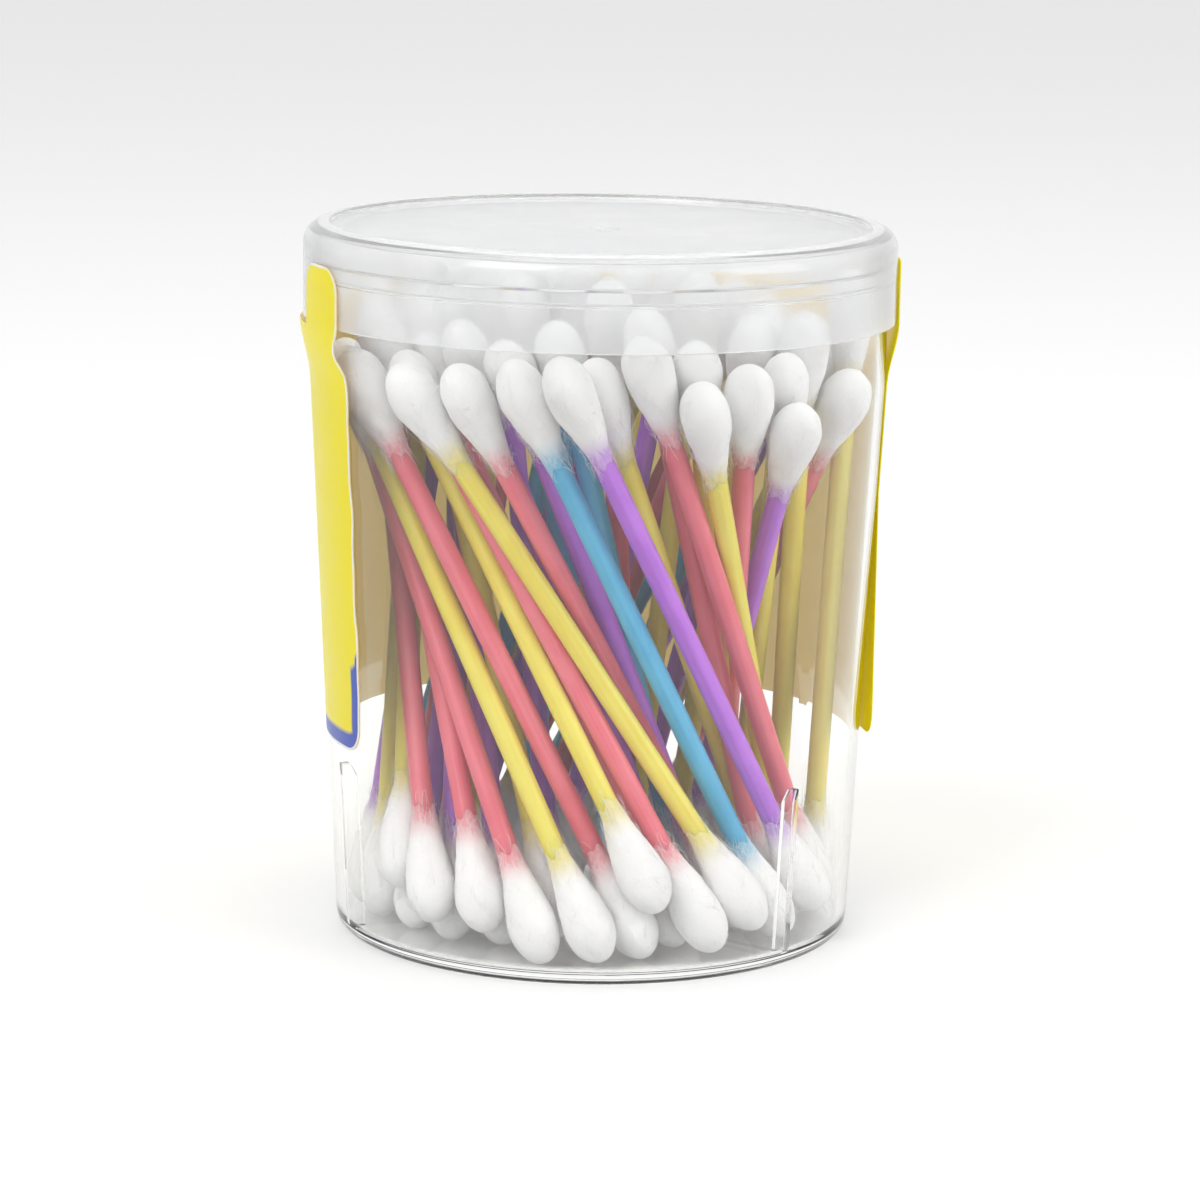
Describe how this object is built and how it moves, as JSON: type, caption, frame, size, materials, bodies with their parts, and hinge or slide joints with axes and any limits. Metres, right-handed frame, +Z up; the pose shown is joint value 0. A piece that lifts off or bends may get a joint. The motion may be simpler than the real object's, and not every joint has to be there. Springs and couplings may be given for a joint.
{
  "type": "cotton swab tub",
  "caption": "Round clear plastic tub of cotton swabs with coloured sticks, wrapped in a printed film label and closed by a lift-off snap lid.",
  "frame": {"origin": "centre of the flat underside that the tub stands on", "axes": "+Z up along the tub's axis, -Y towards the open front of the label, +X to its right"},
  "size_m": [0.0668, 0.0665, 0.08],
  "materials": {
    "clear_plastic": "clear glossy moulded plastic",
    "lid_plastic": "milky translucent moulded plastic",
    "label_film": "glossy printed film, yellow with a blue border",
    "cotton": "soft wound white cotton",
    "stick_pink": "satin extruded plastic with white cotton ends",
    "stick_yellow": "satin extruded plastic with white cotton ends",
    "stick_violet": "satin extruded plastic with white cotton ends",
    "stick_blue": "satin extruded plastic with white cotton ends"
  },
  "bodies": {
    "tub": {"tub": "clear_plastic", "label": "label_film", "swab_01_yellow": "stick_yellow", "swab_02_violet": "stick_violet", "swab_03_yellow": "stick_yellow", "swab_04_violet": "stick_violet", "swab_05_pink": "stick_pink", "swab_06_violet": "stick_violet", "swab_07_pink": "stick_pink", "swab_08_violet": "stick_violet", "swab_09_pink": "stick_pink", "swab_10_yellow": "stick_yellow", "swab_11_yellow": "stick_yellow", "swab_12_pink": "stick_pink", "swab_13_pink": "stick_pink", "swab_14_yellow": "stick_yellow", "swab_15_pink": "stick_pink", "swab_16_yellow": "stick_yellow", "swab_17_pink": "stick_pink", "swab_18_violet": "stick_violet", "swab_19_violet": "stick_violet", "swab_20_blue": "stick_blue", "swab_21_violet": "stick_violet", "swab_22_blue": "stick_blue", "swab_23_yellow": "stick_yellow", "swab_24_pink": "stick_pink", "swab_25_pink": "stick_pink", "swab_26_yellow": "stick_yellow", "swab_27_yellow": "stick_yellow", "swab_28_pink": "stick_pink", "swab_29_violet": "stick_violet", "swab_30_pink": "stick_pink", "swab_31_yellow": "stick_yellow", "swab_32_yellow": "stick_yellow", "swab_33_yellow": "stick_yellow", "swab_34_yellow": "stick_yellow", "swab_35_violet": "stick_violet", "swab_36_blue": "stick_blue", "swab_37_pink": "stick_pink", "swab_38_yellow": "stick_yellow", "swab_39_violet": "stick_violet", "swab_40_blue": "stick_blue", "swab_41_pink": "stick_pink", "swab_42_yellow": "stick_yellow", "swab_43_violet": "stick_violet", "swab_44_blue": "stick_blue", "swab_45_pink": "stick_pink", "swab_46_yellow": "stick_yellow", "swab_47_violet": "stick_violet", "swab_48_blue": "stick_blue", "swab_49_pink": "stick_pink", "swab_50_yellow": "stick_yellow", "swab_51_violet": "stick_violet", "swab_52_blue": "stick_blue", "swab_53_pink": "stick_pink", "swab_54_yellow": "stick_yellow", "swab_55_violet": "stick_violet", "swab_56_blue": "stick_blue"},
    "lid": {"lid": "lid_plastic"}
  },
  "joints": [
    {"name": "lid_lift", "type": "slide", "parent": "tub", "child": "lid", "axis": [0, 0, 1], "range_m": [0, 0.09]}
  ]
}
